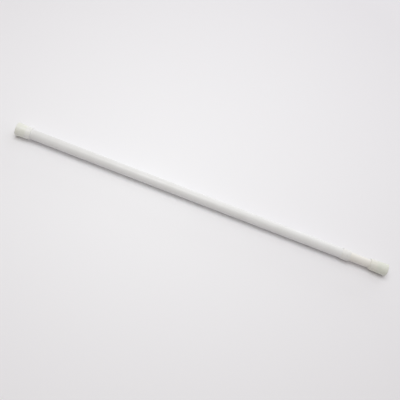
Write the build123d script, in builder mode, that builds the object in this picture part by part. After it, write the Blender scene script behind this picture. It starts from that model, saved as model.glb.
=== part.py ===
# Telescopic shower curtain rod, lying along X on its end caps.
# Two painted steel tubes slide in each other. A twist of the inner tube spreads a split ring
# on an eccentric core and so grips the outer tube, and a spring behind the core then pushes
# the soft end caps against the two walls.
# Millimetres, +Z up, origin under the middle of the rod at the height of the floor.

from build123d import *
from math import cos, pi, radians, sin
import os

# Tubes
outer_tube_diameter = 20.0
outer_tube_wall = 0.5
outer_tube_length = 673.0
telescope_gap = 0.8
inner_tube_wall = 0.45
shown_inner_length = 41.5

# Collar on the mouth of the outer tube
collar_wall = 0.75
collar_length = 17.5
collar_lip = 1.5
collar_chamfer = 0.4

# Soft end caps
outer_cap_length = 30.0
outer_cap_wall = 1.8
outer_cap_flare = 1.5
outer_cap_socket = 10.0
inner_cap_length = 36.0
inner_cap_wall = 1.75
inner_cap_flare = 1.75
inner_cap_socket = 13.0
cap_floor = 4.5
cap_shoulder = 3.2
cap_flare_curve = 0.1
cap_chamfer = 0.8
face_land = 5.0
face_dish_depth = 0.8

# Eccentric lock
journal_diameter = 10.6
journal_length = 20.0
eccentricity = 1.2
nose_thickness = 2.5
nose_overlap = 1.0
nose_chamfer = 0.8
flange_thickness = 3.0
lock_ring_gap_angle = 80.0
dog_angle = 20.0
dog_inset = 1.0
shank_width = 8.0
shank_chamfer = 0.6
flute_width = 3.0
flute_depth = 1.4

# Bush at the hidden end of the inner tube, screw and washer behind it
bush_rim = 2.0
bush_length = 16.0
washer_thickness = 1.0
screw_diameter = 3.4
screw_length = 12.0
screw_head_diameter = 7.0
screw_head_height = 2.6
screw_recess_width = 1.1
screw_recess_span = 4.2
screw_recess_depth = 1.4

# Spring and its seat in the inner tube
spring_travel = 20.0
spring_length = 60.0
spring_wire = 1.4
spring_coils = 7
spring_steps = 14
spring_wire_sides = 6
seat_length = 12.0
pilot_length = 4.0
bead_width = 3.0
bead_floor = 1.4
bead_depth = 0.7

# Clearances
push_fit = 0.05
guide_fit = 0.2
slide_fit = 0.1
ring_fit = 0.15
rim_fit = 0.3
flange_fit = 0.4
end_play = 0.3
dog_play_angle = 1.5
stop_gap = 0.2
nose_gap = 1.0
closing_gap = 3.5
pilot_fit = 0.4
spring_side_gap = 1.25
washer_side_gap = 1.0
screw_hole_fit = 0.15
screw_hole_spare = 2.0
flute_stop = 1.0

# Radii that follow from these
outer_radius = outer_tube_diameter / 2
outer_bore = outer_radius - outer_tube_wall
inner_radius = outer_bore - telescope_gap
inner_bore = inner_radius - inner_tube_wall
outer_cap_mouth_radius = outer_radius + push_fit + outer_cap_wall
outer_cap_rim_radius = outer_cap_mouth_radius + outer_cap_flare
inner_cap_mouth_radius = inner_radius + push_fit + inner_cap_wall
inner_cap_rim_radius = inner_cap_mouth_radius + inner_cap_flare
axis_height = max(outer_cap_rim_radius, inner_cap_rim_radius)
journal_radius = journal_diameter / 2
lock_ring_radius = outer_bore - ring_fit
nose_radius = journal_radius + eccentricity + nose_overlap
flange_radius = outer_bore - flange_fit
washer_radius = inner_bore - washer_side_gap
spring_radius = inner_bore - spring_side_gap - spring_wire / 2

# Places along the rod, from its left end face to its right one
overall_length = (
    outer_cap_length
    - outer_cap_socket
    + outer_tube_length
    + collar_lip
    + shown_inner_length
    + inner_cap_length
)
left_face = -overall_length / 2
right_face = overall_length / 2
outer_tube_end = left_face + outer_cap_length - outer_cap_socket
outer_tube_mouth = outer_tube_end + outer_tube_length
collar_front = outer_tube_mouth + collar_lip
collar_back = collar_front - collar_length
inner_cap_mouth = right_face - inner_cap_length
inner_tube_right = inner_cap_mouth + inner_cap_socket

# The lock stands clear of the outer cap by what is left for the tubes to close
closing_travel = shown_inner_length - spring_travel - closing_gap
nose_front = outer_tube_end + closing_travel + nose_gap
journal_start = nose_front + nose_thickness
flange_start = journal_start + journal_length
shank_start = flange_start + flange_thickness
bush_front = shank_start + spring_travel + end_play
inner_tube_left = bush_front + bush_rim
bush_back = inner_tube_left + bush_length
shank_end = bush_back + stop_gap
washer_back = shank_end + washer_thickness
seat_front = washer_back + spring_length
bush_bead = inner_tube_left + bush_length / 2
seat_back = seat_front + seat_length
seat_bead = seat_back + bead_width / 2

rod_axis = Axis((0, 0, axis_height), (1, 0, 0))
side = Plane(origin=(0, 0, axis_height), x_dir=(1, 0, 0), z_dir=(0, -1, 0))


def across(x, lift=0.0):
    """A plane square to the rod, with its own x along Y and its own y up."""
    return Plane(origin=(x, 0, axis_height + lift), x_dir=(0, 1, 0), z_dir=(1, 0, 0))


def hollow_section(start, end, bore, radius):
    """The cut face of a plain tube or ring between two places on the rod."""
    with BuildSketch(side) as section:
        with BuildLine():
            Polyline((start, bore), (end, bore), (end, radius), (start, radius), close=True)
        make_face()
    return section.sketch


os.makedirs("parts", exist_ok=True)


# Outer tube

with BuildPart() as outer_tube:
    add(hollow_section(outer_tube_end, outer_tube_mouth, outer_bore, outer_radius))
    revolve(axis=rod_axis)

outer_tube.part.label = "outer_tube"
export_step(outer_tube.part, "parts/outer_tube.step")


# Inner tube, with a bead rolled into the bush and one that backs the spring seat

def bead_corners(bead, radius):
    """The four corners of a rolled bead's section, from one side to the other."""
    return [
        (bead - bead_width / 2, radius),
        (bead - bead_floor / 2, radius - bead_depth),
        (bead + bead_floor / 2, radius - bead_depth),
        (bead + bead_width / 2, radius),
    ]


def beaded_line(radius):
    """One long edge of the inner tube's section, dipped at each rolled bead."""
    return [
        (inner_tube_left, radius),
        *bead_corners(bush_bead, radius),
        *bead_corners(seat_bead, radius),
        (inner_tube_right, radius),
    ]


with BuildPart() as inner_tube:
    with BuildSketch(side):
        with BuildLine():
            Polyline(*beaded_line(inner_radius), *reversed(beaded_line(inner_bore)), close=True)
        make_face()
    revolve(axis=rod_axis)

inner_tube.part.label = "inner_tube"
export_step(inner_tube.part, "parts/inner_tube.step")


# Collar: a sleeve over the outer tube, and a lip that covers its cut edge and guides the
# inner tube

collar_bore = outer_radius + push_fit
collar_radius = collar_bore + collar_wall
guide_bore = inner_radius + guide_fit

with BuildPart() as tube_collar:
    with BuildSketch(side):
        with BuildLine():
            Polyline(
                (collar_back, collar_bore),
                (outer_tube_mouth, collar_bore),
                (outer_tube_mouth, guide_bore),
                (collar_front, guide_bore),
                (collar_front, collar_radius),
                (collar_back, collar_radius),
                close=True,
            )
        make_face()
    revolve(axis=rod_axis)
    rims = tube_collar.edges().filter_by(GeomType.CIRCLE).group_by(SortBy.RADIUS)[-1]
    chamfer(rims, collar_chamfer)

tube_collar.part.label = "tube_collar"
export_step(tube_collar.part, "parts/tube_collar.step")


# End caps: a socket for the tube, a shoulder that the tube butts on, a cored-out middle, an
# outside that widens all the way from the mouth to the rim, and a shallow dish in the face

def end_cap(face, inward, length, socket, tube_radius, mouth_radius, rim_radius):
    """A soft cap with its end face at face; inward is 1 where the rod lies towards +X."""

    def at(depth, radius):
        return (face + inward * depth, radius)

    socket_radius = tube_radius + push_fit
    shoulder_depth = length - socket
    core_radius = tube_radius - cap_shoulder
    dish_radius = rim_radius - cap_chamfer - face_land
    slope = (mouth_radius - rim_radius) / (length - cap_chamfer)
    with BuildPart() as cap:
        with BuildSketch(side):
            with BuildLine():
                Spline(
                    at(cap_chamfer, rim_radius),
                    at(length, mouth_radius),
                    tangents=(
                        (inward, slope * (1 + cap_flare_curve)),
                        (inward, slope * (1 - cap_flare_curve)),
                    ),
                )
                Polyline(
                    at(length, mouth_radius),
                    at(length, socket_radius),
                    at(shoulder_depth, socket_radius),
                    at(shoulder_depth, core_radius),
                    at(cap_floor, core_radius),
                    at(cap_floor, 0),
                    at(face_dish_depth, 0),
                    at(face_dish_depth, dish_radius),
                    at(0, dish_radius),
                    at(0, rim_radius - cap_chamfer),
                    at(cap_chamfer, rim_radius),
                )
            make_face()
        revolve(axis=rod_axis)
    return cap.part


outer_end_cap = end_cap(
    left_face, 1, outer_cap_length, outer_cap_socket,
    outer_radius, outer_cap_mouth_radius, outer_cap_rim_radius,
)
outer_end_cap.label = "outer_end_cap"
export_step(outer_end_cap, "parts/outer_end_cap.step")

inner_end_cap = end_cap(
    right_face, -1, inner_cap_length, inner_cap_socket,
    inner_radius, inner_cap_mouth_radius, inner_cap_rim_radius,
)
inner_end_cap.label = "inner_end_cap"
export_step(inner_end_cap, "parts/inner_end_cap.step")


# Lock core: a chamfered nose, an eccentric journal with a driving dog, a flange, and a
# fluted square shank that slides in the bush

half_gap = lock_ring_gap_angle / 2
dog_outer_angle = half_gap - dog_play_angle
dog_inner_angle = dog_outer_angle - dog_angle
dog_radius = lock_ring_radius - dog_inset
screw_hole_radius = screw_diameter / 2 + push_fit
screw_hole_depth = screw_length + screw_hole_spare
fluted_end = shank_end - screw_hole_depth - flute_stop


def sector_points(radius, first_angle, last_angle):
    """Corners of a wedge from the rod's axis, its angles counted from +Z towards +Y."""
    reach = radius / cos(radians((last_angle - first_angle) / 2))
    return [
        (0, 0),
        (reach * sin(radians(first_angle)), reach * cos(radians(first_angle))),
        (reach * sin(radians(last_angle)), reach * cos(radians(last_angle))),
    ]


with BuildPart() as lock_core:
    with BuildSketch(across(nose_front)):
        Circle(nose_radius)
    extrude(amount=nose_thickness)
    chamfer(lock_core.edges().sort_by(Axis.X)[0], nose_chamfer)
    with BuildSketch(across(journal_start, eccentricity)):
        Circle(journal_radius)
    extrude(amount=journal_length)
    with BuildSketch(across(journal_start)):
        with BuildLine():
            Polyline(*sector_points(dog_radius, dog_inner_angle, dog_outer_angle), close=True)
        make_face()
        Circle(dog_radius, mode=Mode.INTERSECT)
    extrude(amount=journal_length)
    with BuildSketch(across(flange_start)):
        Circle(flange_radius)
    extrude(amount=flange_thickness)
    with BuildSketch(across(shank_start)):
        shank_square = Rectangle(shank_width, shank_width)
        chamfer(shank_square.vertices(), shank_chamfer)
    extrude(amount=shank_end - shank_start)
    with BuildSketch(across(shank_start)):
        with PolarLocations(shank_width / 2 - flute_depth / 2, 4):
            Rectangle(flute_depth, flute_width)
    extrude(amount=fluted_end - shank_start, mode=Mode.SUBTRACT)
    with BuildSketch(across(shank_end)):
        Circle(screw_hole_radius)
    extrude(amount=-screw_hole_depth, mode=Mode.SUBTRACT)

lock_core.part.label = "lock_core"
export_step(lock_core.part, "parts/lock_core.step")


# Lock ring: an eccentric sleeve, split at its thin side

lock_ring_start = journal_start + end_play
lock_ring_length = journal_length - 2 * end_play
lock_ring_bore = journal_radius + slide_fit

with BuildPart() as lock_ring:
    with BuildSketch(across(lock_ring_start)):
        Circle(lock_ring_radius)
        with Locations((0, eccentricity)):
            Circle(lock_ring_bore, mode=Mode.SUBTRACT)
        with BuildLine():
            Polyline(*sector_points(2 * lock_ring_radius, -half_gap, half_gap), close=True)
        make_face(mode=Mode.SUBTRACT)
    extrude(amount=lock_ring_length)

lock_ring.part.label = "lock_ring"
export_step(lock_ring.part, "parts/lock_ring.step")


# Guide bush: a rim that rides in the outer tube and a spigot crimped in the inner tube

bush_rim_radius = outer_bore - rim_fit
spigot_radius = inner_bore - push_fit
bush_hole = shank_width + 2 * slide_fit


with BuildPart() as guide_bush:
    with BuildSketch(across(bush_front)):
        Circle(bush_rim_radius)
    extrude(amount=bush_rim)
    with BuildSketch(across(inner_tube_left)):
        Circle(spigot_radius)
    extrude(amount=bush_length)
    with BuildSketch(across(bush_front)):
        bush_square = Rectangle(bush_hole, bush_hole)
        chamfer(bush_square.vertices(), shank_chamfer)
    extrude(amount=bush_rim + bush_length, mode=Mode.SUBTRACT)
    add(
        hollow_section(
            bush_bead - bead_width / 2,
            bush_bead + bead_width / 2,
            inner_bore - bead_depth - push_fit,
            inner_bore,
        )
    )
    revolve(axis=rod_axis, mode=Mode.SUBTRACT)

guide_bush.part.label = "guide_bush"
export_step(guide_bush.part, "parts/guide_bush.step")


# Stop washer and screw, which keep the shank in the bush and carry the spring

with BuildPart() as stop_washer:
    add(hollow_section(shank_end, washer_back, screw_diameter / 2 + screw_hole_fit, washer_radius))
    revolve(axis=rod_axis)

stop_washer.part.label = "stop_washer"
export_step(stop_washer.part, "parts/stop_washer.step")

with BuildPart() as stop_screw:
    with BuildSketch(across(washer_back)):
        Circle(screw_diameter / 2)
    extrude(amount=-screw_length)
    with BuildSketch(across(washer_back)):
        Circle(screw_head_diameter / 2)
    extrude(amount=screw_head_height)
    with BuildSketch(across(washer_back + screw_head_height)):
        Rectangle(screw_recess_span, screw_recess_width)
        Rectangle(screw_recess_width, screw_recess_span)
    extrude(amount=-screw_recess_depth, mode=Mode.SUBTRACT)

stop_screw.part.label = "stop_screw"
export_step(stop_screw.part, "parts/stop_screw.step")


# Compression spring, its two ends ground flat

def coil_point(step):
    """A point on the wire's middle line, with spring_steps of them to a turn."""
    turn = 2 * pi * step / spring_steps
    return (
        washer_back + spring_length * step / (spring_coils * spring_steps),
        spring_radius * sin(turn),
        axis_height + spring_radius * cos(turn),
    )


with BuildPart() as compression_spring:
    with BuildLine():
        wire = Polyline(*[coil_point(step) for step in range(spring_coils * spring_steps + 1)])
    with BuildSketch(Plane(origin=wire @ 0, z_dir=wire % 0)):
        RegularPolygon(spring_wire / 2, spring_wire_sides)
    sweep(transition=Transition.RIGHT)
    with BuildSketch(across(washer_back)):
        Circle(inner_bore)
    extrude(amount=spring_length, mode=Mode.INTERSECT)

compression_spring.part.label = "compression_spring"
export_step(compression_spring.part, "parts/compression_spring.step")


# Spring seat: a plug that backs on a bead of the inner tube, with a pilot inside the spring

pilot_radius = spring_radius - spring_wire / 2 - pilot_fit
seat_radius = inner_bore - push_fit

with BuildPart() as spring_seat:
    with BuildSketch(across(seat_front)):
        Circle(seat_radius)
    extrude(amount=seat_length)
    with BuildSketch(across(seat_front)):
        Circle(pilot_radius)
    extrude(amount=-pilot_length)

spring_seat.part.label = "spring_seat"
export_step(spring_seat.part, "parts/spring_seat.step")

print(f"overall length {overall_length:.1f} mm, inner tube {inner_tube_right - inner_tube_left:.1f} mm")
print(f"rod_extend closes by {closing_travel:.1f} mm, spring_push by {spring_travel:.1f} mm")
print(f"inner tube in the outer one {collar_front - inner_tube_left:.1f} mm")
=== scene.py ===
# Telescopic shower curtain rod on a pale table: white enamelled tubes, a plastic collar and
# two milky soft end caps. Everything is in metres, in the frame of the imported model.

import bpy
from math import atan2, cos, pi, radians, sin
from mathutils import Matrix, Vector


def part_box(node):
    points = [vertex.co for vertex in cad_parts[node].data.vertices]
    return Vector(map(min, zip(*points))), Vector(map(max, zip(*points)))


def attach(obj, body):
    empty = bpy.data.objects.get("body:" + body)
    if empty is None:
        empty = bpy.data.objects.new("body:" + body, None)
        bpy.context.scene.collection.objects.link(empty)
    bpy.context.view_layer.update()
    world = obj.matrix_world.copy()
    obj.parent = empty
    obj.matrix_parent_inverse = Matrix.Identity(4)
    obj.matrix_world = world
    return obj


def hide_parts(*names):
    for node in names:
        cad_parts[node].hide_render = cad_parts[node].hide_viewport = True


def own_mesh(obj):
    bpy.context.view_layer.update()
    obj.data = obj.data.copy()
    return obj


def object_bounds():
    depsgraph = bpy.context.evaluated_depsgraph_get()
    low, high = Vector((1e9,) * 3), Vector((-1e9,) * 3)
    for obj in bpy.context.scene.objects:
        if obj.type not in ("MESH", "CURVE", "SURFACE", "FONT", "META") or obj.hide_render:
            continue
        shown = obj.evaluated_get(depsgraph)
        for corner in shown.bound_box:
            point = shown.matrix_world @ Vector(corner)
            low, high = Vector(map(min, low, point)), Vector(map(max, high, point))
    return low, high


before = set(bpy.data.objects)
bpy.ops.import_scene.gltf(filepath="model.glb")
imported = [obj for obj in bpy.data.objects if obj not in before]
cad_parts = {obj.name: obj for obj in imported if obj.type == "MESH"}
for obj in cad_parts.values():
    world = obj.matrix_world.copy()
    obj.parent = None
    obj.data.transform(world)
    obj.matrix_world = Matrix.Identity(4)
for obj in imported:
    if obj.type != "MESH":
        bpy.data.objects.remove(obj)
cadLow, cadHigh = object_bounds()

mm = 0.001
rodHeight = 13.35 * mm  # the rod's axis above the table
axisPoint = Vector((0, 0, rodHeight))
quarterTurns = (0, 22.5, 45, 67.5, 90)  # the steps of a rounded corner, in degrees
smoothAngle = 35  # sides that meet more sharply than this keep a crease
evenly = (1.0, 1.0, 1.0)
print("frame loaded:", ", ".join(sorted(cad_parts)))


# Helpers

def tint(red, green, blue):
    # a colour as it is read off a screen, 0 to 255, turned into Blender's linear colour
    linear = []
    for value in (red, green, blue):
        share = value / 255
        linear.append(share / 12.92 if share <= 0.04045 else ((share + 0.055) / 1.055) ** 2.4)
    return (*linear, 1.0)


def letGo():
    if bpy.context.object and bpy.context.object.mode != "OBJECT":
        bpy.ops.object.mode_set(mode="OBJECT")
    bpy.ops.object.select_all(action="DESELECT")


def pickOnly(piece):
    letGo()
    piece.select_set(True)
    bpy.context.view_layer.objects.active = piece


def useModifier(piece, kind, **settings):
    pickOnly(piece)
    modifier = piece.modifiers.new(kind.title(), kind)
    for setting, value in settings.items():
        setattr(modifier, setting, value)
    bpy.ops.object.modifier_apply(modifier=modifier.name)


def fixInPlace(piece):
    pickOnly(piece)
    bpy.ops.object.transform_apply(location=True, rotation=True, scale=True)


def smoothSides(piece, angle):
    pickOnly(piece)
    bpy.ops.object.shade_smooth_by_angle(angle=radians(angle))


def roundEdges(piece, form):
    # only the edges that turn more than the form's sharpAngle are rounded
    useModifier(piece, "BEVEL", width=form["edgeRound"], segments=form["edgeSteps"],
                angle_limit=radians(form["sharpAngle"]))


def pickOpenRings(piece, sides):
    # selects the first and the last ring of points, with the piece in edit mode afterwards
    bpy.ops.object.mode_set(mode="OBJECT")
    count = len(piece.data.vertices)
    openRings = (set(range(sides)), set(range(count - sides, count)))
    for face in piece.data.polygons:
        face.select = False
    for edge in piece.data.edges:
        edge.select = any(set(edge.vertices) <= ring for ring in openRings)
    for point in piece.data.vertices:
        point.select = any(point.index in ring for ring in openRings)
    bpy.ops.object.mode_set(mode="EDIT")
    bpy.ops.mesh.select_mode(type="EDGE")


# Turns a piece about the rod's axis: a circle is extruded from ring to ring and resized at
# each. It stays in edit mode with its two open ends selected, which are then bridged where the
# piece is hollow, or closed on the axis where it is solid.
def turnPiece(name, rings, sides):
    letGo()
    place, radius = rings[0]
    bpy.ops.mesh.primitive_circle_add(
        vertices=sides, radius=radius, fill_type="NOTHING",
        location=(place, 0, rodHeight), rotation=(0, pi / 2, 0))
    piece = bpy.context.object
    piece.name = name
    fixInPlace(piece)
    bpy.ops.object.mode_set(mode="EDIT")
    bpy.ops.mesh.select_all(action="SELECT")
    for nextPlace, nextRadius in rings[1:]:
        bpy.ops.mesh.extrude_region_move(
            TRANSFORM_OT_translate={"value": (nextPlace - place, 0, 0)})
        scale = nextRadius / radius
        bpy.ops.transform.resize(
            value=(1, scale, scale), center_override=(nextPlace, 0, rodHeight))
        place, radius = nextPlace, nextRadius
    pickOpenRings(piece, sides)
    return piece


def faceOutwards():
    bpy.ops.mesh.select_all(action="SELECT")
    bpy.ops.mesh.normals_make_consistent(inside=False)
    bpy.ops.object.mode_set(mode="OBJECT")


def bridgeEnds():
    bpy.ops.mesh.bridge_edge_loops()
    faceOutwards()


def closeOnAxis():
    # both open ends are filled with fans of triangles that meet on the rod's axis
    bpy.ops.mesh.edge_face_add()
    bpy.ops.mesh.poke()
    faceOutwards()


# Raises a fine line along the outside of a turned piece, as a weld or a mould seam. The angle
# is from the top towards the back, in degrees.
def raiseSeam(piece, form, angle, low, high, outside):
    surfaceDepth = 0.1 * mm  # a point this far under the outside still counts as on it
    for point in piece.data.vertices:
        away = Vector((0, point.co.y, point.co.z - rodHeight))
        if away.length < outside - surfaceDepth or not low <= point.co.x <= high:
            continue
        turn = (atan2(away.y, away.z) - radians(angle) + pi) % (2 * pi) - pi
        if abs(turn) * away.length <= form["seamWidth"] / 2:
            point.co += away.normalized() * form["seamHeight"]


# Materials

# the part of a noise's values that is spread over a whole ramp or range
wideBand = (0.3, 0.7)
narrowBand = (0.35, 0.65)


def startMaterial(name, gloss):
    material = bpy.data.materials.new(name)
    material.use_nodes = True
    tree = material.node_tree
    shader = tree.nodes["Principled BSDF"]
    shader.inputs["Specular IOR Level"].default_value = gloss
    return material, tree, shader


def addNode(tree, kind, settings=None, **sockets):
    node = tree.nodes.new(kind)
    for key, value in (settings or {}).items():
        setattr(node, key, value)
    for key, value in sockets.items():
        node.inputs[key.replace("_", " ")].default_value = value
    return node


def objectPattern(tree, stretch):
    where = addNode(tree, "ShaderNodeTexCoord")
    mapping = addNode(tree, "ShaderNodeMapping", Scale=stretch)
    tree.links.new(where.outputs["Object"], mapping.inputs["Vector"])
    return mapping.outputs["Vector"]


def noiseOn(tree, stretch, scale, detail, roughness=0.5):
    noise = addNode(tree, "ShaderNodeTexNoise", Scale=scale, Detail=detail, Roughness=roughness)
    tree.links.new(objectPattern(tree, stretch), noise.inputs["Vector"])
    return noise.outputs["Fac"]


def rampOn(tree, factor, stops):
    ramp = addNode(tree, "ShaderNodeValToRGB")
    band = ramp.color_ramp
    while len(band.elements) < len(stops):
        band.elements.new(0.5)
    for element, (place, colour) in zip(band.elements, stops):
        element.position = place
        element.color = colour
    tree.links.new(factor, ramp.inputs["Fac"])
    return ramp.outputs["Color"]


def rangeOn(tree, factor, fromLow, fromHigh, toLow, toHigh):
    node = addNode(tree, "ShaderNodeMapRange")
    for name, value in (("From Min", fromLow), ("From Max", fromHigh),
                        ("To Min", toLow), ("To Max", toHigh)):
        node.inputs[name].default_value = value
    tree.links.new(factor, node.inputs["Value"])
    return node.outputs["Result"]


def mixOn(tree, factor, first, second):
    # with colours, the node's factor is socket 0, its colours are 6 and 7, and its result is 2
    node = addNode(tree, "ShaderNodeMix", {"data_type": "RGBA"})
    tree.links.new(factor, node.inputs[0])
    for socket, colour in ((node.inputs[6], first), (node.inputs[7], second)):
        if isinstance(colour, tuple):
            socket.default_value = colour
        else:
            tree.links.new(colour, socket)
    return node.outputs[2]


def bumpOn(tree, shader, height, strength, distance):
    bump = addNode(tree, "ShaderNodeBump", Strength=strength, Distance=distance)
    tree.links.new(height, bump.inputs["Height"])
    tree.links.new(bump.outputs["Normal"], shader.inputs["Normal"])


def dress(piece, material):
    piece.data.materials.clear()
    piece.data.materials.append(material)


# White baked enamel: a faint cloudiness, the fine ripple of sprayed paint and a few dull scuffs
enamel = {
    "outer": {"white": tint(230, 230, 230), "cloud": tint(227, 227, 226), "scuffs": 0.35},
    "inner": {"white": tint(232, 229, 224), "cloud": tint(228, 225, 219), "scuffs": 0.9},
    "scuffColour": tint(206, 204, 202),
    "cloudScale": 38.0, "cloudDetail": 3.0,
    "streakScale": 1400.0, "streakDetail": 4.0, "streakRoughness": 0.6,
    "streakStretch": (0.04, 1.0, 1.0), "streakBand": (0.58, 0.70),
    "patchScale": 22.0, "patchDetail": 2.0, "patchBand": (0.45, 0.65),
    "rippleScale": 900.0, "rippleDetail": 2.0, "rippleStrength": 0.5,
    "rippleDepth": 0.02 * mm,
    "roughness": (0.30, 0.42), "gloss": 0.5, "coat": 0.2, "coatRoughness": 0.28,
}


def makeEnamel(tube):
    material, tree, shader = startMaterial("white_enamel_" + tube, enamel["gloss"])
    links = tree.links
    kind = enamel[tube]
    clouds = noiseOn(tree, evenly, enamel["cloudScale"], enamel["cloudDetail"])
    cloudy = rangeOn(tree, clouds, *narrowBand, 0.0, 1.0)
    base = mixOn(tree, cloudy, kind["white"], kind["cloud"])
    streaks = noiseOn(tree, enamel["streakStretch"], enamel["streakScale"],
                      enamel["streakDetail"], enamel["streakRoughness"])
    patches = noiseOn(tree, evenly, enamel["patchScale"], enamel["patchDetail"])
    worn = addNode(tree, "ShaderNodeMath", {"operation": "MULTIPLY"})
    links.new(rangeOn(tree, streaks, *enamel["streakBand"], 0.0, kind["scuffs"]), worn.inputs[0])
    links.new(rangeOn(tree, patches, *enamel["patchBand"], 0.0, 1.0), worn.inputs[1])
    colour = mixOn(tree, worn.outputs[0], base, enamel["scuffColour"])
    links.new(colour, shader.inputs["Base Color"])
    rough = rangeOn(tree, clouds, *wideBand, *enamel["roughness"])
    links.new(rough, shader.inputs["Roughness"])
    ripple = noiseOn(tree, evenly, enamel["rippleScale"], enamel["rippleDetail"])
    bumpOn(tree, shader, ripple, enamel["rippleStrength"], enamel["rippleDepth"])
    shader.inputs["Coat Weight"].default_value = enamel["coat"]
    shader.inputs["Coat Roughness"].default_value = enamel["coatRoughness"]
    return material


outerEnamel = makeEnamel("outer")
innerEnamel = makeEnamel("inner")


# Moulded plastic: slightly cloudy in colour and gloss, with a fine grain. Glossy and white on
# the collar, and natural nylon on the lock, bush and seat.
collarFinish = {
    "dull": tint(224, 223, 221), "pale": tint(229, 228, 226),
    "cloudScale": 160.0, "cloudDetail": 3.0, "roughness": (0.26, 0.36), "gloss": 0.5,
    "grainScale": 2600.0, "grainDetail": 2.0, "grainStrength": 0.35, "grainDepth": 0.01 * mm,
}
nylonFinish = {
    "dull": tint(222, 216, 198), "pale": tint(233, 229, 215),
    "cloudScale": 240.0, "cloudDetail": 4.0, "roughness": (0.36, 0.52), "gloss": 0.45,
    "grainScale": 1800.0, "grainDetail": 3.0, "grainStrength": 0.4, "grainDepth": 0.015 * mm,
    "scatter": 0.15, "scatterLength": 1.5 * mm,
}


def makePlastic(name, finish):
    material, tree, shader = startMaterial(name, finish["gloss"])
    cloud = noiseOn(tree, evenly, finish["cloudScale"], finish["cloudDetail"])
    colour = rampOn(tree, cloud, list(zip(wideBand, (finish["dull"], finish["pale"]))))
    tree.links.new(colour, shader.inputs["Base Color"])
    rough = rangeOn(tree, cloud, *wideBand, *finish["roughness"])
    tree.links.new(rough, shader.inputs["Roughness"])
    grain = noiseOn(tree, evenly, finish["grainScale"], finish["grainDetail"])
    bumpOn(tree, shader, grain, finish["grainStrength"], finish["grainDepth"])
    if "scatter" in finish:
        shader.inputs["Subsurface Weight"].default_value = finish["scatter"]
        shader.inputs["Subsurface Scale"].default_value = finish["scatterLength"]
    return material


collarPlastic = makePlastic("white_collar_plastic", collarFinish)
nylon = makePlastic("natural_nylon", nylonFinish)


# Milky soft plastic of the end caps: slightly green where it is solid, and a little paler over
# the socket, where the white tube shows through
softCap = {
    "blendLength": 5.0 * mm,
    "roughness": (0.34, 0.46),
    "scatter": 0.25,
    "scatterLength": 3.0 * mm,
    "scatterColour": (1.0, 1.0, 0.85),
    "gloss": 0.5,
    "mottleScale": 120.0, "mottleDetail": 4.0,
    "grainScale": 1500.0, "grainDetail": 3.0, "grainStrength": 0.4, "grainDepth": 0.02 * mm,
}


def makeSoftCap(cap, tubeEnd):
    material, tree, shader = startMaterial("milky_" + cap["node"], softCap["gloss"])
    links = tree.links
    where = addNode(tree, "ShaderNodeTexCoord")
    split = addNode(tree, "ShaderNodeSeparateXYZ")
    links.new(where.outputs["Object"], split.inputs["Vector"])
    reach = cap["inward"] * softCap["blendLength"] / 2
    covered = rangeOn(tree, split.outputs["X"], tubeEnd - reach, tubeEnd + reach, 0.0, 1.0)
    mottle = noiseOn(tree, evenly, softCap["mottleScale"], softCap["mottleDetail"])
    patchy = rangeOn(tree, mottle, *narrowBand, 0.0, 1.0)
    base = mixOn(tree, patchy, cap["bodyColour"], cap["cloudColour"])
    links.new(mixOn(tree, covered, base, cap["overTubeColour"]), shader.inputs["Base Color"])
    rough = rangeOn(tree, mottle, *wideBand, *softCap["roughness"])
    links.new(rough, shader.inputs["Roughness"])
    shader.inputs["Subsurface Weight"].default_value = softCap["scatter"]
    shader.inputs["Subsurface Radius"].default_value = softCap["scatterColour"]
    shader.inputs["Subsurface Scale"].default_value = softCap["scatterLength"]
    grain = noiseOn(tree, evenly, softCap["grainScale"], softCap["grainDetail"])
    bumpOn(tree, shader, grain, softCap["grainStrength"], softCap["grainDepth"])
    return material


# Steel of the small parts, with the streaks that drawing or plating leaves
steelFinish = {
    "zinc_plated_steel": {
        "dark": tint(178, 182, 186), "pale": tint(214, 217, 219),
        "roughness": (0.22, 0.36), "stretch": evenly,
    },
    "drawn_spring_steel": {
        "dark": tint(120, 122, 126), "pale": tint(165, 167, 170),
        "roughness": (0.28, 0.42), "stretch": (0.4, 1.0, 1.0),
    },
    "gloss": 0.5,
    "streakScale": 900.0, "streakDetail": 4.0, "streakRoughness": 0.6,
    "streakStrength": 0.3, "streakDepth": 0.01 * mm,
}


def makeSteel(name):
    finish = steelFinish[name]
    material, tree, shader = startMaterial(name, steelFinish["gloss"])
    streaks = noiseOn(tree, finish["stretch"], steelFinish["streakScale"],
                      steelFinish["streakDetail"], steelFinish["streakRoughness"])
    colour = rampOn(tree, streaks, list(zip(narrowBand, (finish["dark"], finish["pale"]))))
    tree.links.new(colour, shader.inputs["Base Color"])
    rough = rangeOn(tree, streaks, *wideBand, *finish["roughness"])
    tree.links.new(rough, shader.inputs["Roughness"])
    bumpOn(tree, shader, streaks, steelFinish["streakStrength"], steelFinish["streakDepth"])
    shader.inputs["Metallic"].default_value = 1.0
    return material


platedSteel = makeSteel("zinc_plated_steel")
springSteel = makeSteel("drawn_spring_steel")
print("materials ready")


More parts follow.
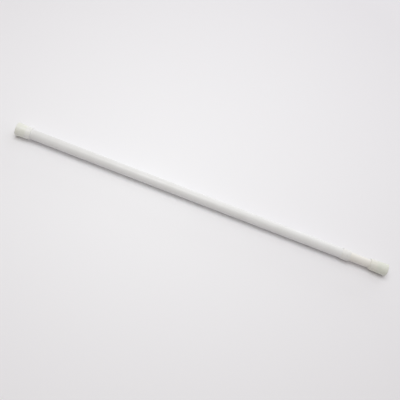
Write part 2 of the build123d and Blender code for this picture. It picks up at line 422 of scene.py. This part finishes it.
# Outer tube: thin welded steel, its cut ends slightly rounded by the enamel
outerTube = {
    "radius": 10.0 * mm,
    "wall": 0.5 * mm,
    "edgeRound": 0.12 * mm,
    "edgeSteps": 2,
    "sharpAngle": 40,
    "seamAngle": 200.0,
    "seamWidth": 1.0 * mm,
    "seamHeight": 0.04 * mm,
    "sides": 128,
}
tubeLow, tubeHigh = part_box("outer_tube")
bore = outerTube["radius"] - outerTube["wall"]
outerTubePiece = turnPiece("enamelled_outer_tube", [
    (tubeLow.x, bore), (tubeHigh.x, bore),
    (tubeHigh.x, outerTube["radius"]), (tubeLow.x, outerTube["radius"]),
], outerTube["sides"])
bridgeEnds()
raiseSeam(outerTubePiece, outerTube, outerTube["seamAngle"], tubeLow.x, tubeHigh.x,
          outerTube["radius"])
roundEdges(outerTubePiece, outerTube)
smoothSides(outerTubePiece, smoothAngle)
dress(outerTubePiece, outerEnamel)
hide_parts("outer_tube")
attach(outerTubePiece, "outer_tube")
print("outer tube made")


# Inner tube: a size smaller, with a groove rolled in over the bush and one behind the spring seat
innerTube = {
    "radius": 8.7 * mm,
    "wall": 0.45 * mm,
    "edgeRound": 0.1 * mm,
    "edgeSteps": 2,
    "sharpAngle": 20,  # low enough to take in the edges of the grooves
    "bushDepth": 8.0 * mm,  # from the tube's hidden end to the middle of the first groove
    "grooveWidth": 3.0 * mm,
    "grooveFloor": 1.4 * mm,
    "grooveDepth": 0.7 * mm,
    "seamAngle": 150.0,
    "seamWidth": 0.9 * mm,
    "seamHeight": 0.03 * mm,
    "sides": 128,
}
tubeLow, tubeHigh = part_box("inner_tube")
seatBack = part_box("spring_seat")[1].x


def groovedLine(radius):
    line = [(tubeLow.x, radius)]
    half, flat = innerTube["grooveWidth"] / 2, innerTube["grooveFloor"] / 2
    deep = radius - innerTube["grooveDepth"]
    for groove in (tubeLow.x + innerTube["bushDepth"], seatBack + half):
        line += [(groove - half, radius), (groove - flat, deep),
                 (groove + flat, deep), (groove + half, radius)]
    return line + [(tubeHigh.x, radius)]


bore = innerTube["radius"] - innerTube["wall"]
innerTubePiece = turnPiece(
    "enamelled_inner_tube", groovedLine(bore) + groovedLine(innerTube["radius"])[::-1],
    innerTube["sides"])
bridgeEnds()
raiseSeam(innerTubePiece, innerTube, innerTube["seamAngle"],
          seatBack + innerTube["grooveWidth"], tubeHigh.x, innerTube["radius"])
roundEdges(innerTubePiece, innerTube)
smoothSides(innerTubePiece, smoothAngle)
dress(innerTubePiece, innerEnamel)
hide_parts("inner_tube")
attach(innerTubePiece, "inner_tube")
print("inner tube made")


# Collar: a snug sleeve over the outer tube's mouth, with a lip that guides the inner tube
collar = {
    "radius": 10.8 * mm,
    "sleeveBore": 10.05 * mm,
    "guideBore": 8.9 * mm,
    "lip": 1.5 * mm,
    "edgeRound": 0.4 * mm,
    "edgeSteps": 3,
    "sharpAngle": 60,
    "seamAngles": (45.0, 225.0),
    "seamWidth": 0.6 * mm,
    "seamHeight": 0.05 * mm,
    "sides": 128,
}
collarLow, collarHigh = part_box("tube_collar")
shoulder = collarHigh.x - collar["lip"]
collarPiece = turnPiece("moulded_tube_collar", [
    (collarLow.x, collar["sleeveBore"]), (shoulder, collar["sleeveBore"]),
    (shoulder, collar["guideBore"]), (collarHigh.x, collar["guideBore"]),
    (collarHigh.x, collar["radius"]), (collarLow.x, collar["radius"]),
], collar["sides"])
bridgeEnds()
for angle in collar["seamAngles"]:
    raiseSeam(collarPiece, collar, angle, collarLow.x, collarHigh.x, collar["radius"])
roundEdges(collarPiece, collar)
smoothSides(collarPiece, smoothAngle)
dress(collarPiece, collarPlastic)
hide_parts("tube_collar")
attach(collarPiece, "outer_tube")
print("collar made")


# End caps: a socket over the tube, a cored middle, a flared end with grip rings round a dish
endCaps = {
    "outer": {
        "name": "soft_outer_end_cap", "node": "outer_end_cap", "body": "outer_tube",
        "inward": 1, "tubeRadius": 10.0 * mm, "mouth": 11.85 * mm, "rim": 13.35 * mm,
        "length": 30.0 * mm, "socket": 10.0 * mm,
        "bodyColour": tint(230, 231, 224), "cloudColour": tint(227, 228, 220),
        "overTubeColour": tint(234, 234, 231),
    },
    "inner": {
        "name": "soft_inner_end_cap", "node": "inner_end_cap", "body": "inner_tube",
        "inward": -1, "tubeRadius": 8.7 * mm, "mouth": 10.5 * mm, "rim": 12.25 * mm,
        "length": 36.0 * mm, "socket": 13.0 * mm,
        "bodyColour": tint(220, 221, 212), "cloudColour": tint(216, 218, 208),
        "overTubeColour": tint(223, 222, 214),
    },
}
capForm = {
    "pushFit": 0.05 * mm,
    "shoulder": 3.2 * mm,
    "floor": 4.5 * mm,
    "flareSteps": 12,
    "flareCurve": 0.1,
    "rimRound": 1.2 * mm,
    "mouthRound": 1.1 * mm,
    "dishDepth": 0.8 * mm,
    "land": 5.0 * mm,  # the flat ring of the wall face, between the dish and the rounded rim
    "gripRings": 3,
    "gripDepth": 0.35 * mm,
    "gripWidth": 0.7 * mm,
    "gripFloor": 0.4,  # the floor of each grip groove, as a share of its width
    "poleRadius": 1.0 * mm,  # the last ring before a face closes on the axis
    "edgeRound": 0.12 * mm,
    "edgeSteps": 2,
    "sharpAngle": 50,
    "smoothAngle": 40,
    "seamInset": 1.0 * mm,
    "seamAngles": (50.0, 230.0),
    "seamWidth": 0.7 * mm,
    "seamHeight": 0.08 * mm,
    "sides": 128,
}


def capRings(cap, face):
    inward, rim, mouth = cap["inward"], cap["rim"], cap["mouth"]
    dishRadius = rim - capForm["rimRound"] - capForm["land"]
    rings = [(capForm["dishDepth"], capForm["poleRadius"]),
             (capForm["dishDepth"], dishRadius), (0, dishRadius)]
    spacing = capForm["land"] / (capForm["gripRings"] + 1)
    half = capForm["gripWidth"] / 2
    flat = half * capForm["gripFloor"]
    for number in range(capForm["gripRings"]):
        middle = dishRadius + spacing * (number + 1)
        rings += [(0, middle - half), (capForm["gripDepth"], middle - flat),
                  (capForm["gripDepth"], middle + flat), (0, middle + half)]
    # rim and mouth are quarter rounds, and the outside narrows all the way between them
    corner, lip = capForm["rimRound"], capForm["mouthRound"]
    for turn in quarterTurns:
        rings.append((corner * (1 - cos(radians(turn))), rim - corner * (1 - sin(radians(turn)))))
    flareLength = cap["length"] - corner
    for step in range(1, capForm["flareSteps"]):
        share = step / capForm["flareSteps"] * (flareLength - lip) / flareLength
        drop = share + capForm["flareCurve"] * share * (1 - share)
        rings.append((corner + flareLength * share, rim - (rim - mouth) * drop))
    for turn in quarterTurns:
        rings.append((cap["length"] - lip * (1 - sin(radians(turn))),
                      mouth - lip * (1 - cos(radians(turn)))))
    core = cap["tubeRadius"] - capForm["shoulder"]
    socket = cap["tubeRadius"] + capForm["pushFit"]
    socketFloor = cap["length"] - cap["socket"]
    rings += [(cap["length"], socket), (socketFloor, socket), (socketFloor, core),
              (capForm["floor"], core), (capForm["floor"], capForm["poleRadius"])]
    return [(face + inward * depth, radius) for depth, radius in rings]


for cap in endCaps.values():
    capLow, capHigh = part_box(cap["node"])
    face = capLow.x if cap["inward"] > 0 else capHigh.x
    capPiece = turnPiece(cap["name"], capRings(cap, face), capForm["sides"])
    closeOnAxis()
    for angle in capForm["seamAngles"]:
        raiseSeam(capPiece, capForm, angle, capLow.x + capForm["seamInset"],
                  capHigh.x - capForm["seamInset"], cap["mouth"])
    roundEdges(capPiece, capForm)
    smoothSides(capPiece, capForm["smoothAngle"])
    tubeEnd = face + cap["inward"] * (cap["length"] - cap["socket"])
    dress(capPiece, makeSoftCap(cap, tubeEnd))
    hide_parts(cap["node"])
    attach(capPiece, cap["body"])
print("end caps made")


# Spring: a round wire wound with closed end coils, its two ends ground flat
spring = {
    "radius": 6.3 * mm,
    "wire": 1.4 * mm,
    "coils": 7,
    "closedPitch": 1.45 * mm,
    "stepsPerCoil": 48,
    "wireSides": 16,
    "smoothAngle": 40,
    "shortest": 40 / 60,  # its length with the joint pushed in, as a share of its length at rest
}
springLow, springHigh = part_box("compression_spring")
springLength = springHigh.x - springLow.x
openCoils = spring["coils"] - 2


def wirePlace(turn):
    # where along the spring the middle of the wire is after so many turns
    openPitch = (springLength - 2 * spring["closedPitch"]) / openCoils
    closed = min(turn, 1) + max(turn - 1 - openCoils, 0)
    return closed * spring["closedPitch"] + min(max(turn - 1, 0), openCoils) * openPitch


letGo()
bpy.ops.mesh.primitive_circle_add(
    vertices=spring["wireSides"], radius=spring["wire"] / 2, fill_type="NOTHING",
    location=(0, 0, spring["radius"]), rotation=(pi / 2, 0, 0))
springPiece = bpy.context.object
springPiece.name = "wound_compression_spring"
fixInPlace(springPiece)
evenPitch = springLength / spring["coils"]
useModifier(springPiece, "SCREW", axis="X", angle=2 * pi, screw_offset=evenPitch,
            iterations=spring["coils"], steps=spring["stepsPerCoil"],
            render_steps=spring["stepsPerCoil"], use_merge_vertices=False)
for point in springPiece.data.vertices:
    turn = (point.index // spring["wireSides"]) / spring["stepsPerCoil"]
    wound = point.co.x + wirePlace(turn) - turn * evenPitch
    point.co.x = min(max(wound, 0), springLength)
pickOpenRings(springPiece, spring["wireSides"])
bpy.ops.mesh.edge_face_add()
faceOutwards()
springPiece.location = (springLow.x, 0, rodHeight)
fixInPlace(springPiece)
smoothSides(springPiece, spring["smoothAngle"])
dress(springPiece, springSteel)
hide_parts("compression_spring")
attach(springPiece, "inner_tube")
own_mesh(springPiece)
print("spring made")


# Stop screw: a thread-forming screw with a domed cross-recess head
stopScrew = {
    "tipRadius": 0.7 * mm,
    "tipLength": 1.2 * mm,
    "rootRadius": 1.35 * mm,
    "crestRadius": 1.68 * mm,
    "pitch": 1.3 * mm,
    "ridgeShare": 0.7,  # how much of the pitch the ridge's foot takes
    "runIn": 1.5 * mm,
    "ringsPerPitch": 8,
    "headRadius": 3.5 * mm,
    "headHeight": 2.6 * mm,
    "headSide": 1.2 * mm,
    "headTop": 2.4 * mm,  # the radius where the dome ends in a flat
    "footRound": 0.2 * mm,
    "recessSpan": 4.2 * mm,
    "recessWidth": 1.1 * mm,
    "recessDepth": 1.4 * mm,
    "sides": 48,
    "slack": 0.01 * mm,  # how near a point has to lie to count as on the root
}
screwLow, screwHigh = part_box("stop_screw")
headFoot = screwHigh.x - stopScrew["headHeight"]
threadLow = screwLow.x + stopScrew["tipLength"]
ringCount = int((headFoot - threadLow) / stopScrew["pitch"] * stopScrew["ringsPerPitch"])
screwRings = [(screwLow.x, stopScrew["tipRadius"])]
for number in range(ringCount + 1):
    screwRings.append((threadLow + (headFoot - threadLow) * number / ringCount,
                       stopScrew["rootRadius"]))
headSideTop = headFoot + stopScrew["headSide"]
domeWidth = stopScrew["headRadius"] - stopScrew["headTop"]
screwRings += [(headFoot, stopScrew["headRadius"] - stopScrew["footRound"]),
               (headFoot + stopScrew["footRound"], stopScrew["headRadius"]),
               (headSideTop, stopScrew["headRadius"])]
for turn in quarterTurns[1:]:
    screwRings.append((
        headSideTop + (screwHigh.x - headSideTop) * sin(radians(turn)),
        stopScrew["headTop"] + domeWidth * cos(radians(turn))))
screwRings.append((screwHigh.x, stopScrew["tipRadius"]))
screwPiece = turnPiece("threaded_stop_screw", screwRings, stopScrew["sides"])
closeOnAxis()
for point in screwPiece.data.vertices:
    away = Vector((0, point.co.y, point.co.z - rodHeight))
    onRoot = abs(away.length - stopScrew["rootRadius"]) < stopScrew["slack"]
    if onRoot and threadLow < point.co.x < headFoot - stopScrew["slack"]:
        turn = (point.co.x - threadLow) / stopScrew["pitch"] - atan2(away.y, away.z) / (2 * pi)
        ridge = max(0, 1 - abs(turn % 1 - 0.5) * 2 / stopScrew["ridgeShare"])
        fade = min(1, (point.co.x - threadLow) / stopScrew["runIn"],
                   (headFoot - point.co.x) / stopScrew["runIn"])
        height = (stopScrew["crestRadius"] - stopScrew["rootRadius"]) * ridge * fade
        point.co += away.normalized() * height
for flat in (0, pi / 2):
    letGo()
    bpy.ops.mesh.primitive_cube_add(size=1, location=(screwHigh.x, 0, rodHeight))
    cutter = bpy.context.object
    cutter.scale = (2 * stopScrew["recessDepth"], stopScrew["recessSpan"], stopScrew["recessWidth"])
    cutter.rotation_euler = (flat, 0, 0)
    fixInPlace(cutter)
    useModifier(screwPiece, "BOOLEAN", object=cutter, operation="DIFFERENCE", solver="EXACT")
    pickOnly(cutter)
    bpy.ops.object.delete()
smoothSides(screwPiece, smoothAngle)
dress(screwPiece, platedSteel)
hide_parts("stop_screw")
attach(screwPiece, "lock_core")
print("stop screw made")


# Lock, bush, washer and seat keep their CAD shapes
for node, material in (("lock_core", nylon), ("lock_ring", nylon), ("guide_bush", nylon),
                       ("spring_seat", nylon), ("stop_washer", platedSteel)):
    dress(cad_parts[node], material)
print("inner parts dressed")


# Round table, tipped a tenth of a degree so that both rims touch it. Its colour holds a painted
# pool of light: palest round a centre near the rod and duller further out, in place of the lamps'
# falloff
table = {
    "radius": 1.8,
    "sides": 128,
    # painted light: middle is the colour at the centre of the painted pool of light, edge the
    # painted dimmer colour far from it
    "middle": tint(244, 244, 247),
    "edge": tint(224, 222, 226),
    "reach": 0.8,  # how far from its pale centre the table turns as dull as its edge
    "centre": (-0.108, 0.003),
    "roughness": 0.6,
    "gloss": 0.3,
}
letGo()
bpy.ops.mesh.primitive_circle_add(
    vertices=table["sides"], radius=table["radius"], fill_type="NGON", location=(0, 0, 0))
tableTop = bpy.context.object
tableTop.name = "table_top"
rimDrop = endCaps["outer"]["rim"] - endCaps["inner"]["rim"]
tipAngle = atan2(rimDrop, cadHigh.x - cadLow.x)
tableTop.rotation_euler = (0, -tipAngle, 0)
tableTop.location = (0, 0, rimDrop / 2)
tablePaint, tableTree, tableShader = startMaterial("table_painted_light_pool", table["gloss"])
tableShader.inputs["Roughness"].default_value = table["roughness"]
# painted pool of light: the table's colour darkens with the distance from this centre, standing in
# for light falling off
fromPaintedLightCentre = addNode(tableTree, "ShaderNodeVectorMath", {"operation": "DISTANCE"})
tableTree.links.new(objectPattern(tableTree, evenly), fromPaintedLightCentre.inputs[0])
fromPaintedLightCentre.inputs[1].default_value = (*table["centre"], 0)
fade = rangeOn(tableTree, fromPaintedLightCentre.outputs["Value"], 0.0, table["reach"], 0.0, 1.0)
tableTree.links.new(rampOn(tableTree, fade, [(0.0, table["middle"]), (1.0, table["edge"])]),
                    tableShader.inputs["Base Color"])
dress(tableTop, tablePaint)


# Light: a large soft lamp overhead, weaker ones at the right and behind, one low down that
# brightens the back edge, and a soft warm sky
light = {
    "distance": 2.5,
    "lamps": {  # leaning back and turned left from straight up, in degrees
        "overhead": {"lean": 6.0, "left": 8.0, "size": (2.0, 2.0), "power": 37.5,
                     "colour": (0.985, 1.0, 1.0)},
        "side": {"lean": 0.0, "left": -60.0, "size": (1.6, 1.6), "power": 3.0,
                 "colour": (1.0, 1.0, 1.0)},
        "behind": {"lean": 45.0, "left": -20.0, "size": (2.6, 1.4), "power": 9.5,
                   "colour": (0.92, 0.96, 1.0)},
        "low": {"lean": 80.0, "left": -15.0, "size": (3.4, 0.7), "power": 14.0,
                "colour": (0.92, 0.96, 1.0)},
    },
    "skyColour": (1.0, 0.94, 0.885, 1.0),
    "skyStrength": 0.36,
    "backdrop": tint(222, 221, 224),
}
for lampName, setting in light["lamps"].items():
    lean, left = radians(setting["lean"]), radians(setting["left"])
    towardLamp = Vector((-sin(left), sin(lean) * cos(left), cos(lean) * cos(left)))
    letGo()
    bpy.ops.object.light_add(type="AREA", location=axisPoint + towardLamp * light["distance"])
    lamp = bpy.context.object
    lamp.name = "soft_lamp_" + lampName
    lamp.rotation_euler = towardLamp.to_track_quat("Z", "Y").to_euler()
    lamp.data.shape = "RECTANGLE"
    lamp.data.size, lamp.data.size_y = setting["size"]
    lamp.data.energy = setting["power"]
    lamp.data.color = setting["colour"]
sky = bpy.data.worlds.new("pale_sky")
sky.use_nodes = True
skyTree = sky.node_tree
softSky = skyTree.nodes["Background"]
softSky.inputs["Color"].default_value = light["skyColour"]
softSky.inputs["Strength"].default_value = light["skyStrength"]
# what camera, reflected and transmitted rays see of it is as pale as the table
paleSky = addNode(skyTree, "ShaderNodeBackground", Color=light["backdrop"], Strength=1.0)
rays = addNode(skyTree, "ShaderNodeLightPath")
seen = rays.outputs["Is Camera Ray"]
for ray in ("Is Glossy Ray", "Is Transmission Ray"):
    either = addNode(skyTree, "ShaderNodeMath", {"operation": "MAXIMUM"})
    skyTree.links.new(seen, either.inputs[0])
    skyTree.links.new(rays.outputs[ray], either.inputs[1])
    seen = either.outputs[0]
skyMix = addNode(skyTree, "ShaderNodeMixShader")
skyTree.links.new(seen, skyMix.inputs["Fac"])
skyTree.links.new(softSky.outputs["Background"], skyMix.inputs[1])
skyTree.links.new(paleSky.outputs["Background"], skyMix.inputs[2])
skyTree.links.new(skyMix.outputs["Shader"], skyTree.nodes["World Output"].inputs["Surface"])
bpy.context.scene.world = sky


# Camera: square to the rod, looking down on it, and rolled so that the rod drops to the right
shot = {
    "elevation": 57.0,  # degrees, as is the roll
    "roll": 21.0,
    "distance": 1.3,
    "pixelSize": 1.951 * mm,  # on the rod
    "shiftRight": 1.86,  # pixels from the picture's centre to the rod's middle
    "shiftUp": 0.52,
    "pictureWidth": 400,  # pixels
    "sensor": 36.0,  # millimetres, as Blender counts it
}
tilt, roll = radians(shot["elevation"]), radians(shot["roll"])
back = Vector((0, -cos(tilt), sin(tilt)))
levelUp = Vector((0, sin(tilt), cos(tilt)))
levelRight = Vector((1, 0, 0))
cameraRight = cos(roll) * levelRight + sin(roll) * levelUp
cameraUp = cos(roll) * levelUp - sin(roll) * levelRight
cameraPlace = (axisPoint + back * shot["distance"]
               - cameraRight * shot["shiftRight"] * shot["pixelSize"]
               - cameraUp * shot["shiftUp"] * shot["pixelSize"])
letGo()
bpy.ops.object.camera_add(location=cameraPlace)
camera = bpy.context.object
camera.name = "photo_camera"
camera.matrix_world = Matrix.Translation(cameraPlace) @ Matrix(
    (cameraRight, cameraUp, back)).transposed().to_4x4()
camera.data.sensor_width = shot["sensor"]
camera.data.lens = shot["sensor"] * shot["distance"] / (shot["pictureWidth"] * shot["pixelSize"])
bpy.context.scene.camera = camera
bpy.context.scene.view_settings.view_transform = "Standard"
print("stage, light and camera ready")
